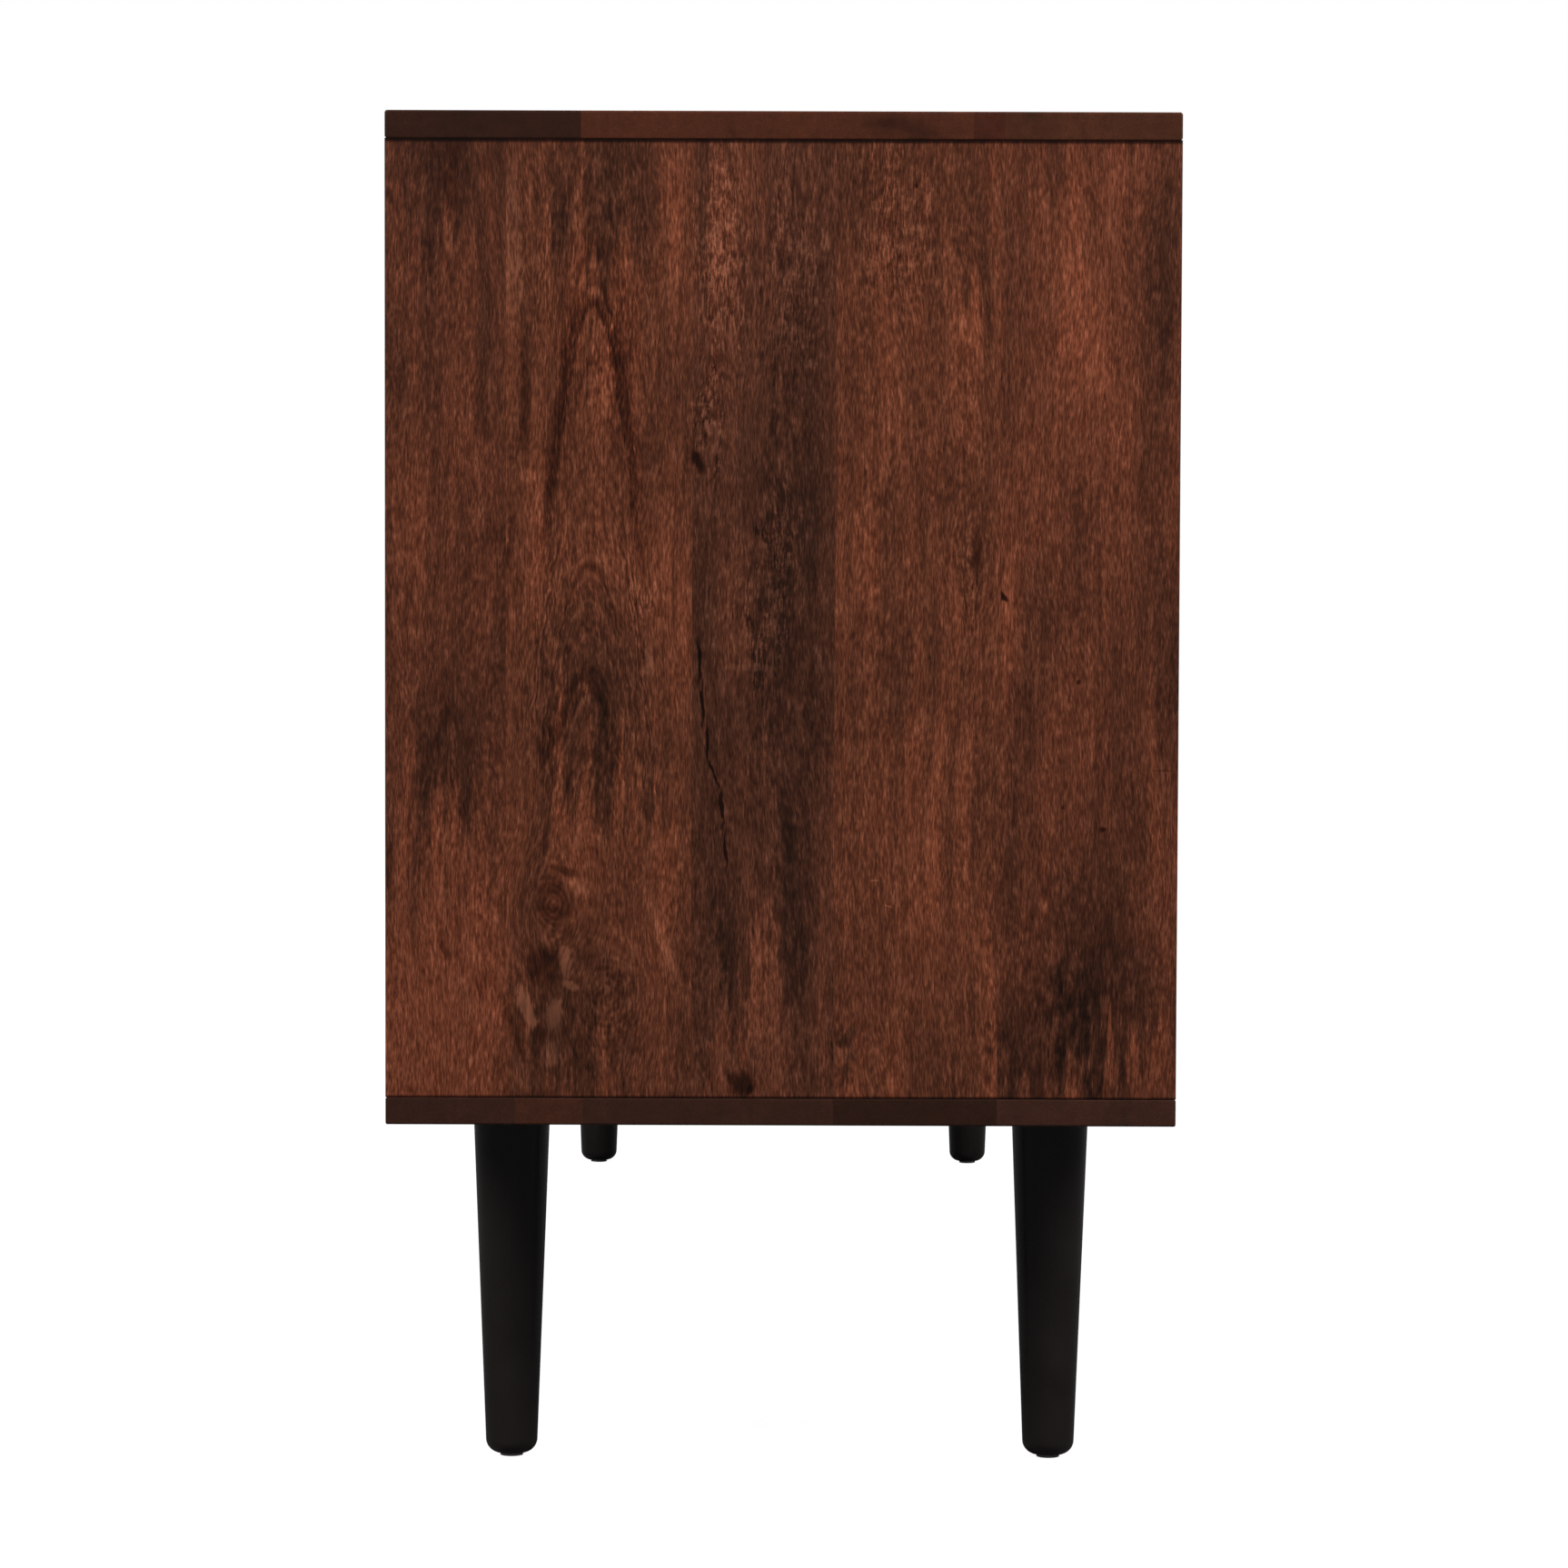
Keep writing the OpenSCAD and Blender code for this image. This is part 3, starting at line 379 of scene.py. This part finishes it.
# The right-hand end panel, in millimetres: its staves from front to back, then the stain, knots
# and grain figure on them. Heights are from the panel's lower edge. A negative darkening is paler.
END_STAVES = [(-215, "#512a1b"), (-150, "#5b301f"), (-50, "#4e2a1c"), (28, "#5b301f"),
              (116, "#582e1e")]
END_FIGURE = {
    # clouds, marks and curls: across, up, half width, half length, lean in degrees, and how
    # much darker, or how strong a curl
    "clouds": [
        (-183, 515, 42, 70, 0, 0.45), (-182, 190, 28, 46, 0, 0.55), (-188, 50, 60, 130, 0, -0.50),
        (-100, 490, 46, 60, 0, 0.55), (-102, 392, 15, 45, 0, -0.25), (-107, 230, 40, 60, 0, 0.60),
        (-71, 176, 13, 18, 0, 0.45), (-100, 150, 52, 30, 0, -0.30), (-109, 45, 44, 66, 0, 0.50),
        (6, 250, 26, 270, 0, 0.60), (-29, 103, 7, 40, 0, 0.50), (-41, 30, 6, 24, 0, 0.50),
        (-10, 53, 20, 32, 0, -0.30), (-21, 9, 11, 14, 0, 0.60), (104, 458, 14, 58, 0, 0.40),
        (36, 24, 7, 34, 0, 0.75), (108, 60, 11, 95, 0, -0.20), (172, 50, 46, 66, 0, 0.90),
        (165, 58, 16, 42, 0, 0.40), (171, 112, 34, 26, 0, 0.40), (129, 20, 20, 40, 0, 0.60),
        (195, 4, 26, 14, 0, -0.30), (210, 450, 17, 90, 0, 0.30), (150, 440, 48, 120, 0, -0.30),
        (70, 130, 50, 130, 0, -0.15), (-66, 120, 15, 100, 0, -0.30),
        (-30, 440, 26, 110, 0, -0.35), (-20, 20, 40, 60, 0, -0.40),
    ],
    "marks": [
        (-179, 500, 6, 34, 0, 0.45), (-183, 81, 2.4, 11, 20, 0.60), (-146, 462, 7, 80, 0, -0.40),
        (-86, 410, 9, 34, 0, 0.30), (-139, 376, 4, 46, 0, 0.60), (-147, 303, 3, 30, 0, 0.45),
        (-73, 237, 3.5, 13, 0, -0.5), (-118, 124, 14, 3, -20, 0.6), (-117, 74, 4.5, 12, 0, -1.3),
        (-138, 49, 5, 18, 20, -1.2), (-123, 45, 6, 13, 0, -1.1), (-114, 61, 8, 3.5, -20, -1.0),
        (-124, 25, 7, 10, 0, -0.6), (-140, 13, 8, 14, 20, -0.4), (-111, 117, 7, 9, 20, -0.5),
        (-128, 72, 15, 15, 0, 0.7), (-123, 106, 13, 20, 20, 0.55), (-146, 40, 3, 34, 20, 0.6),
        (-131, 35, 5, 7, 0, 0.5), (-65, 88, 5, 46, 20, -0.35), (-46, 346, 4, 10, 20, 1.5),
        (-16, 234, 22, 2.8, 0, -0.35), (-21, 8, 10, 9, 0, 1.1), (-17, 5, 3, 4, 0, 1.2),
        (72, 494, 1.5, 2, 0, 1.2), (79, 240, 1.2, 1.6, 0, 0.8), (105, 296, 5, 13, 0, 0.55),
        (119.5, 273, 1.6, 4, 20, 2.0), (35, 24, 1.3, 7, 0, -0.7), (50, 119, 3, 0.6, 0, -0.7),
        (57.5, 105, 3, 0.6, -20, -0.7),
        (161, 227, 1.6, 2, 0, 1.3), (175, 147, 1.6, 2, 0, 1.3), (152, 159, 1.4, 1.6, 0, 1.0),
        (206, 179, 10, 0.7, 0, 0.5), (-123, 198, 3.2, 24, -20, 0.5),
        # painted shade: dark lines along the joints with the top and bottom boards, where shade
        # falls in the gaps between the parts
        (0, 519.5, 900, 3.4, 0, 2.2), (0, -0.5, 900, 2.2, 0, 1.6),
        # a drying crack down the middle stave
        (-45, 238, 1.3, 16, 0, 2.4), (-43.5, 214, 1.3, 16, 0, 2.4), (-40.5, 194, 1.3, 13, 0, 2.4),
        (-37, 177, 1.2, 11, 20, 2.0), (-32.5, 158, 1.2, 14, 0, 1.8), (-30.5, 135, 1.2, 17, 0, 1.6),
    ],
    "curls": [
        (-34, 458, 20, 75, 0, 0.5), (-40, 368, 12, 30, 0, 0.9), (-2, 301, 13, 38, 0, 0.7),
        (-8, 254, 22, 24, 0, 0.65), (101, 296, 14, 44, 0, 0.3), (-76, 264, 20, 8, 0, 0.7),
        (-90, 50, 28, 36, 0, 0.2), (5, 440, 22, 90, 0, 0.4), (-98, 400, 16, 50, 0, 0.2),
        (60, 480, 30, 60, 0, 0.4),
    ],
    # across, up, half width, half length, how much the grain flows round
    "bends": [(-124, 106, 34, 62, 0.75), (-91, 52, 40, 60, 0.35), (-40, 368, 20, 60, 0.6),
              (104, 292, 26, 50, 0.4)],
    # across, up, openness, band width, half width, half length, darkening
    "bands": [(-104, 220, 7, 9, 50, 150, 0.32), (-102, 440, 5, 12, 50, 110, 0.25),
              (-32, 430, 3.5, 8, 20, 110, 0.25)],
    # across, top, openness, line width, reach downwards, darkening
    "arches": [
        (-102.6, 430, 4.7, 3.4, 150, 1.0), (-103, 400, 3.4, 3.0, 80, 0.25),
        (-101, 462, 6.5, 4.0, 80, 0.30), (-108, 228, 6.5, 3.4, 70, 0.30),
    ],
    # across, up, half width, half length, lean in degrees, rings, darkening
    "knots": [
        (-124, 105, 17, 25, 20, 6.5, 0.24), (-95, 55, 36, 44, 0, 11, 0.14),
        (-40, 368, 12, 30, 0, 2.5, 0.20),
    ],
}

# The top and bottom boards' staves from front to back.
EDGE_STAVES = {
    "top_panel": [(-215, "#361c12"), (-110, "#542a1a"), (102, "#4c2418"), (118, "#512b1b")],
    "bottom_panel": [(-215, "#3e231a"), (-145, "#4a281b"), (-109, "#3d2319"), (28, "#341d14"),
                     (116, "#45281e")],
}


def picked_staves(node, axes, seed):
    """Staves for a board, in widths and colours picked so that neighbours differ in colour."""
    pick = random.Random(seed)
    low, high = [corner[AXES.index(axes[0])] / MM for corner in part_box(node)]
    edge, last, staves = low, None, []
    while edge < high - NARROWEST_STAVE:
        colour = pick.choice([c for c in STAVE_COLOURS if c != last])
        staves.append((edge, colour))
        last = colour
        edge += pick.uniform(*STAVE_WIDTHS)
    return staves


# ---- eased boards ----


def solids(work):
    """The separate solids in a mesh, as lists of vertices."""
    left = set(work.verts)
    while left:
        found, waiting = set(), [left.pop()]
        while waiting:
            vertex = waiting.pop()
            found.add(vertex)
            for edge in vertex.link_edges:
                other = edge.other_vert(vertex)
                if other in left:
                    left.remove(other)
                    waiting.append(other)
        yield list(found)


def eased_board(node, body, width, grain, eased):
    """A copy of a board with its outer edges sanded round.

    An edge is eased where it lies on two outer planes of its solid. Of a board that butts
    against others only the edges along its grain are eased. With "front", every crisp edge of
    the front face is eased too, so that a finger pull is soft to the touch."""
    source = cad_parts[node]
    work = bmesh.new()
    work.from_mesh(source.data)
    bmesh.ops.remove_doubles(work, verts=work.verts, dist=0.01 * MM)
    bmesh.ops.dissolve_limit(work, angle_limit=radians(0.5), verts=work.verts, edges=work.edges)
    weight = work.edges.layers.float.new("bevel_weight_edge")
    near = 0.02 * MM
    for solid in solids(work):
        low = [min(v.co[i] for v in solid) for i in range(3)]
        high = [max(v.co[i] for v in solid) for i in range(3)]
        edges = {edge for vertex in solid for edge in vertex.link_edges}
        for edge in edges:
            crisp = len(edge.link_faces) != 2 or edge.calc_face_angle() > radians(30)
            edge.smooth = not crisp
            planes = sum(
                all(abs(vertex.co[i] - side[i]) < near for vertex in edge.verts)
                for i in range(3) for side in (low, high))
            on_front = all(abs(vertex.co.y - low[1]) < near for vertex in edge.verts)
            run = edge.verts[0].co - edge.verts[1].co
            lies = eased != "grain" or abs(run[AXES.index(grain)]) > 0.9 * run.length
            if crisp and lies and (planes >= 2 or eased == "front" and on_front):
                edge[weight] = 1.0
    for face in work.faces:
        face.smooth = True
    mesh = bpy.data.meshes.new(node + "_eased")
    work.to_mesh(mesh)
    work.free()
    board = bpy.data.objects.new(node + "_eased", mesh)
    bpy.context.collection.objects.link(board)
    ease = board.modifiers.new("eased_edges", "BEVEL")
    ease.limit_method = "WEIGHT"
    ease.width = width * MM
    ease.segments = 3
    ease.use_clamp_overlap = False
    ease.harden_normals = True
    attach(board, body)
    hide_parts(node)
    return board


BOARDS = [
    # node, body, axes (across, through, along), ease in mm, which edges are eased
    ("top_panel", "case", "YZX", 1.3, "all"),
    ("bottom_panel", "case", "YZX", 1.2, "all"),
    ("side_panel_left", "case", "YXZ", 1.0, "grain"),
    ("side_panel_right", "case", "YXZ", 1.0, "grain"),
    ("partition_left", "case", "YXZ", 0.8, "grain"),
    ("partition_right", "case", "YXZ", 0.8, "grain"),
    ("shelf_left", "case", "YZX", 1.0, "grain"),
    ("shelf_right", "case", "YZX", 1.0, "grain"),
    ("door_left", "door_left_leaf", "XYZ", 1.2, "front"),
    ("door_right", "door_right_leaf", "XYZ", 1.2, "front"),
    ("drawer_front_top", "drawer_top", "ZYX", 1.2, "front"),
    ("drawer_front_middle", "drawer_middle", "ZYX", 1.2, "front"),
    ("drawer_front_bottom", "drawer_bottom", "ZYX", 1.2, "front"),
]

for seed, (node, body, axes, width, eased) in enumerate(BOARDS):
    board = eased_board(node, body, width, axes[2], eased)
    if node == "side_panel_right":
        finish = glued_mango("stained_mango", node, axes, END_STAVES, figure=END_FIGURE)
    else:
        staves = EDGE_STAVES.get(node) or picked_staves(node, axes, seed)
        finish = glued_mango("stained_mango", node, axes, staves)
    paint(board, finish)


# ---- other finishes ----


def patches(tree, cell, detail=3.0, stretch=(1, 1, 1)):
    """Soft irregular patches, one about every cell millimetres, drawn out by stretch."""
    point = add(tree, "TexCoord").outputs["Object"]
    scale = [1 / (cell * MM * long) for long in stretch]
    point = add(tree, "VectorMath", [point, scale], operation="MULTIPLY")
    return add(tree, "TexNoise", {"Vector": point, "Scale": 1.0, "Detail": detail}).outputs["Fac"]


def blended(tree, share, low, high, span=NOISE_SPAN):
    """A colour between two hex colours, as a share goes from one end of a span to the other."""
    ramp = add(tree, "ValToRGB", [share])
    for stop, place, colour in zip(ramp.color_ramp.elements, span, (low, high)):
        stop.position = place
        stop.color = linear(colour)
    return ramp


def satin_black_lacquer():
    """Turned wood sprayed with satin black lacquer: near-black and faintly warm, with a soft
    sheen that brightens towards the rims and the slightest turning lines."""
    finish, tree = new_material("satin_black_lacquer")
    patch = patches(tree, 30)
    turning = patches(tree, 1.2, 2.0, (40, 40, 1))
    roughness = add(tree, "MapRange", [patch, *NOISE_SPAN, 0.24, 0.32])
    finish_surface(tree, blended(tree, patch, "#1a1614", "#1f1b19"), roughness, turning,
                   depth=0.01, IOR=1.45, Specular_IOR_Level=0.4)
    return finish


def zinc_plated_steel():
    """Pressed steel with bright zinc plating: cool pale grey, cloudy, with drawn lines that
    run front to back."""
    finish, tree = new_material("zinc_plated_steel")
    cloudy = patches(tree, 7)
    drawn = patches(tree, 0.5, 2.0, (1, 60, 1))
    roughness = add(tree, "MapRange", [cloudy, *NOISE_SPAN, 0.28, 0.44])
    finish_surface(tree, blended(tree, cloudy, "#9c9ea1", "#c3c5c7"), roughness, drawn,
                   depth=0.008, Metallic=1.0)
    return finish


def ground_magnet_steel():
    """Ground steel pole plates: darker grey with fine grinding marks along them."""
    finish, tree = new_material("ground_magnet_steel")
    ground = patches(tree, 0.35, 2.0, (50, 1, 1))
    roughness = add(tree, "MapRange", [ground, *NOISE_SPAN, 0.3, 0.48])
    finish_surface(tree, blended(tree, ground, "#5e5e60", "#7a7a7b"), roughness, ground,
                   depth=0.008, Metallic=1.0)
    return finish


def aged_brass():
    """Stamped brass, brushed and left to age: warm gold-brown with darker tarnish patches."""
    finish, tree = new_material("aged_brass")
    tarnish = patches(tree, 5, 4.0)
    brushed = patches(tree, 0.35, 2.0, (1, 1, 40))
    roughness = add(tree, "MapRange", [tarnish, *NOISE_SPAN, 0.5, 0.32])
    finish_surface(tree, blended(tree, tarnish, "#5c4525", "#a5854a"), roughness, brushed,
                   depth=0.01, Metallic=1.0)
    return finish


def moulded_brown_plastic():
    """Moulded ABS: matt brown with the fine spark-eroded grain of its mould."""
    finish, tree = new_material("moulded_brown_plastic")
    grain = patches(tree, 0.4, 2.0)
    shade = patches(tree, 12)
    roughness = add(tree, "MapRange", [grain, *NOISE_SPAN, 0.42, 0.55])
    finish_surface(tree, blended(tree, shade, "#3e3029", "#4b3b32"), roughness, grain,
                   depth=0.02, IOR=1.53)
    return finish


def white_nylon():
    """Moulded nylon: off-white, waxy, a little scuffed where it meets the floor."""
    finish, tree = new_material("white_nylon")
    scuff = patches(tree, 2.5, 4.0)
    roughness = add(tree, "MapRange", [scuff, *NOISE_SPAN, 0.36, 0.52])
    finish_surface(tree, blended(tree, scuff, "#cfccc3", "#e3e0d9"), roughness, scuff,
                   depth=0.01, IOR=1.53)
    return finish


def bare_beech():
    """Bare turned beech: pale pinkish tan with short darker flecks along the dowel."""
    finish, tree = new_material("bare_beech")
    fleck = patches(tree, 0.7, 2.0, (1, 1, 6))
    height = add(tree, "MapRange", [fleck, 0.4, 0.7, 1.0, 0.0])
    finish_surface(tree, blended(tree, fleck, "#d3b083", "#b68c5e", (0.45, 0.75)), 0.6, height,
                   depth=0.03, IOR=1.5)
    return finish


def mango_veneered_plywood():
    """Sanded plywood with a rotary-cut face: light brown, with broad wavy figure and fine
    pores along its length, under a thin matt lacquer."""
    finish, tree = new_material("mango_veneered_plywood")
    broad = patches(tree, 30, 4.0, (9, 1, 1))
    rings = add(tree, "Math", [broad, 42.0], operation="MULTIPLY")
    rings = add(tree, "Math", [rings], operation="SINE")
    pores = patches(tree, 0.9, 2.0, (9, 1, 1))
    share = add(tree, "Math", [rings, 0.09, broad], operation="MULTIPLY_ADD")
    flecked = add(tree, "MapRange", [pores, *NOISE_SPAN, -0.14, 0.14], clamp=False)
    share = add(tree, "Math", [share, flecked], operation="ADD")
    roughness = add(tree, "MapRange", [pores, *NOISE_SPAN, 0.48, 0.58])
    finish_surface(tree, blended(tree, share, "#a5845f", "#86643f", (0.2, 0.85)), roughness,
                   pores, depth=0.02, IOR=1.5)
    return finish


FINISHES = {
    "black_lacquer": satin_black_lacquer(), "zinc_steel": zinc_plated_steel(),
    "magnet_steel": ground_magnet_steel(), "aged_brass": aged_brass(),
    "catch_plastic": moulded_brown_plastic(), "nylon": white_nylon(),
    "dowel_beech": bare_beech(), "plywood": mango_veneered_plywood(),
}

# The drawer boxes are mango too, unstained under clear lacquer, each board from two staves.
CLEAR_STEPS = ((0.42, 0.34, 0.27, 1.0), (0.5, 0.45, 0.4, 1.0))
CLEAR_STAVES = ("#a17a52", "#a8835a", "#96704a", "#ad8a62")
CLEAR_STAVE_WIDTH = 62
BOX_AXES = {"drawer_sides": "ZXY", "drawer_ends": "ZYX"}

for node, item in sorted(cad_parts.items()):
    if item.hide_render:
        continue
    slot_name = item.material_slots[0].material.name.split(".")[0]
    kind = node.rsplit("_", 1)[0]
    if kind in BOX_AXES:
        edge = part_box(node)[0].z / MM
        first, second = random.Random(node).sample(CLEAR_STAVES, 2)
        staves = [(edge, first), (edge + CLEAR_STAVE_WIDTH, second)]
        paint(item, glued_mango("clear_mango", node, BOX_AXES[kind], staves, CLEAR_STEPS))
    else:
        paint(item, FINISHES[slot_name])


# ---- ball cages in the drawer slides ----

BALL = 2.5  # diameter of a ball in mm
BALL_PITCH = 14
BALLS = 9
BALL_SPACE = 2.6  # height of the track between two members' flanges
OUTER_TRACK, INNER_TRACK = 3.7, 5.25  # how far a track is in from the middle member's outer face
CAGE_INSET = 30  # from a cage's last ball to the member's end
CAGE_WIDTH, CAGE_THICKNESS, CAGE_ENDS = 4.2, 0.5, 8  # ends: the strip past its first and last ball


def ball_cages(level):
    """The strips of steel balls between a pair of slides' three members.

    The outer track's cages stay in the rear half of the middle member and the inner track's
    in its front half, where each has a member on both sides of it at full travel."""
    middle_low, middle_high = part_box("slide_middle_members_" + level)
    inner_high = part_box("slide_inner_members_" + level)[1]
    height = (middle_low.z + middle_high.z) / 2
    length = (BALLS - 1) * BALL_PITCH * MM
    size = (CAGE_WIDTH * MM, length + CAGE_ENDS * MM, CAGE_THICKNESS * MM)
    tracks = [
        # distance in from the middle member's outer face, distance from mid-height, first y
        (OUTER_TRACK * MM, middle_high.z + BALL_SPACE / 2 * MM - height,
         middle_high.y - CAGE_INSET * MM - length),
        (INNER_TRACK * MM, inner_high.z + BALL_SPACE / 2 * MM - height,
         middle_low.y + CAGE_INSET * MM),
    ]
    work = bmesh.new()
    for inward, rise, start in tracks:
        for side in (-1, 1):
            for turn in (-1, 1):
                x = side * (middle_high.x - inward)
                z = height + turn * rise
                strip = bmesh.ops.create_cube(work, size=1.0)["verts"]
                bmesh.ops.scale(work, vec=size, verts=strip)
                bmesh.ops.translate(work, vec=(x, start + length / 2, z), verts=strip)
                for index in range(BALLS):
                    ball = bmesh.ops.create_icosphere(work, subdivisions=2, radius=BALL / 2 * MM)
                    bmesh.ops.translate(work, vec=(x, start + index * BALL_PITCH * MM, z),
                                        verts=ball["verts"])
    for face in work.faces:
        face.smooth = len(face.verts) == 3
    mesh = bpy.data.meshes.new("ball_cages_" + level)
    work.to_mesh(mesh)
    work.free()
    cages = bpy.data.objects.new("ball_cages_" + level, mesh)
    bpy.context.collection.objects.link(cages)
    paint(cages, FINISHES["zinc_steel"])
    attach(cages, "slides_" + level)


for level in ("top", "middle", "bottom"):
    ball_cages(level)


# ---- studio ----


def studio_floor():
    """A plain pale floor that keeps only a trace of shadow.

    Behind the left-hand end it is lit paper, which gives the legs their pale rims."""
    work = bmesh.new()
    bmesh.ops.create_grid(work, x_segments=1, y_segments=1, size=8.0)
    mesh = bpy.data.meshes.new("studio_floor")
    work.to_mesh(mesh)
    work.free()
    floor = bpy.data.objects.new("studio_floor", mesh)
    bpy.context.collection.objects.link(floor)
    finish, tree = new_material("pale_floor")
    point = add(tree, "TexCoord").outputs["Object"]
    away = add(tree, "VectorMath", [point], operation="LENGTH").outputs["Value"]
    glow = add(tree, "MapRange", [away, 1.0, 2.6, 0.955, 1.0], interpolation_type="SMOOTHSTEP")
    seen = add(tree, "Emission", {"Color": linear("#ffffff"), "Strength": glow})
    lit = add(tree, "BsdfDiffuse", {"Color": linear("#5a5a5a")})
    seen = add(tree, "AddShader", [seen, lit])
    behind = add(tree, "SeparateXYZ", [point]).outputs[0]
    paper = add(tree, "MapRange", [behind, -1.0, -2.6, 0.0, 0.5])
    paper = add(tree, "Emission", {"Color": linear("#ffffff"), "Strength": paper})
    bounce = add(tree, "BsdfDiffuse", {"Color": linear("#585858")})
    bounce = add(tree, "AddShader", [bounce, paper])
    ray = add(tree, "LightPath").outputs["Is Camera Ray"]
    add(tree, "OutputMaterial", [add(tree, "MixShader", [ray, bounce, seen])])
    floor.data.materials.append(finish)
    floor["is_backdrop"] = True


def studio_world():
    """White paper to look at, bright behind the left-hand end, and a low even fill."""
    world = bpy.data.worlds.new("studio")
    world.use_nodes = True
    tree = world.node_tree
    tree.nodes.clear()
    behind = add(tree, "SeparateXYZ", [add(tree, "TexCoord").outputs["Generated"]]).outputs[0]
    fill = add(tree, "MapRange", [behind, -0.5, -0.9, 0.07, 0.5])
    ray = add(tree, "LightPath").outputs["Is Camera Ray"]
    glow = add(tree, "MapRange", [ray, 0.0, 1.0, fill, 1.0])
    add(tree, "OutputWorld", [add(tree, "Background", {"Color": linear("#ffffff"),
                                                      "Strength": glow})])
    bpy.context.scene.world = world


def softbox(name, place, aim, size, power):
    """A square diffused light at a place, turned towards a point. Power is in watts."""
    light = bpy.data.lights.new(name, "AREA")
    light.shape = "SQUARE"
    light.size = size
    light.energy = power
    box = bpy.data.objects.new(name, light)
    turn = (Vector(aim) - Vector(place)).to_track_quat("-Z", "Y").to_matrix().to_4x4()
    box.matrix_world = Matrix.Translation(place) @ turn
    bpy.context.collection.objects.link(box)


# Four softboxes stand round the sideboard, in metres and watts.
SOFTBOX_REACH, SOFTBOX_HEIGHT = 2.5, 2.7
SOFTBOX_SIZE, SOFTBOX_POWER = 1.8, 125

# The camera faces the right-hand end from 2.7 m, a little above its middle, tipped down 3
# degrees, with a long lens. Its place is in metres and its turns are in degrees.
CAMERA_AWAY, CAMERA_ASIDE, CAMERA_HEIGHT = 2.718, 0.00424, 0.5339
CAMERA_TURN, CAMERA_TIP, CAMERA_ROLL = 90.06165, 3.02576, 0.18745
LENS, SENSOR = 115.3, 36

studio_floor()
studio_world()
low, high = frame_box
middle = (Vector(low) + Vector(high)) / 2
for side_x in (-1, 1):
    for side_y in (-1, 1):
        place = (SOFTBOX_REACH * side_x, SOFTBOX_REACH * side_y, SOFTBOX_HEIGHT)
        softbox(f"softbox_{side_x:+d}_{side_y:+d}", place, middle, SOFTBOX_SIZE, SOFTBOX_POWER)

scene = bpy.context.scene
scene.view_settings.view_transform = "Standard"
lens = bpy.data.cameras.new("camera")
lens.lens = LENS
lens.sensor_width = SENSOR
camera = bpy.data.objects.new("camera", lens)
camera.matrix_world = (
    Matrix.Translation((high.x + CAMERA_AWAY, CAMERA_ASIDE, CAMERA_HEIGHT))
    @ Matrix.Rotation(radians(CAMERA_TURN), 4, "Z")
    @ Matrix.Rotation(radians(90 - CAMERA_TIP), 4, "X")
    @ Matrix.Rotation(radians(CAMERA_ROLL), 4, "Z")
)
bpy.context.collection.objects.link(camera)
scene.camera = camera

[[list(corner) for corner in box] for box in (frame_box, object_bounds())]
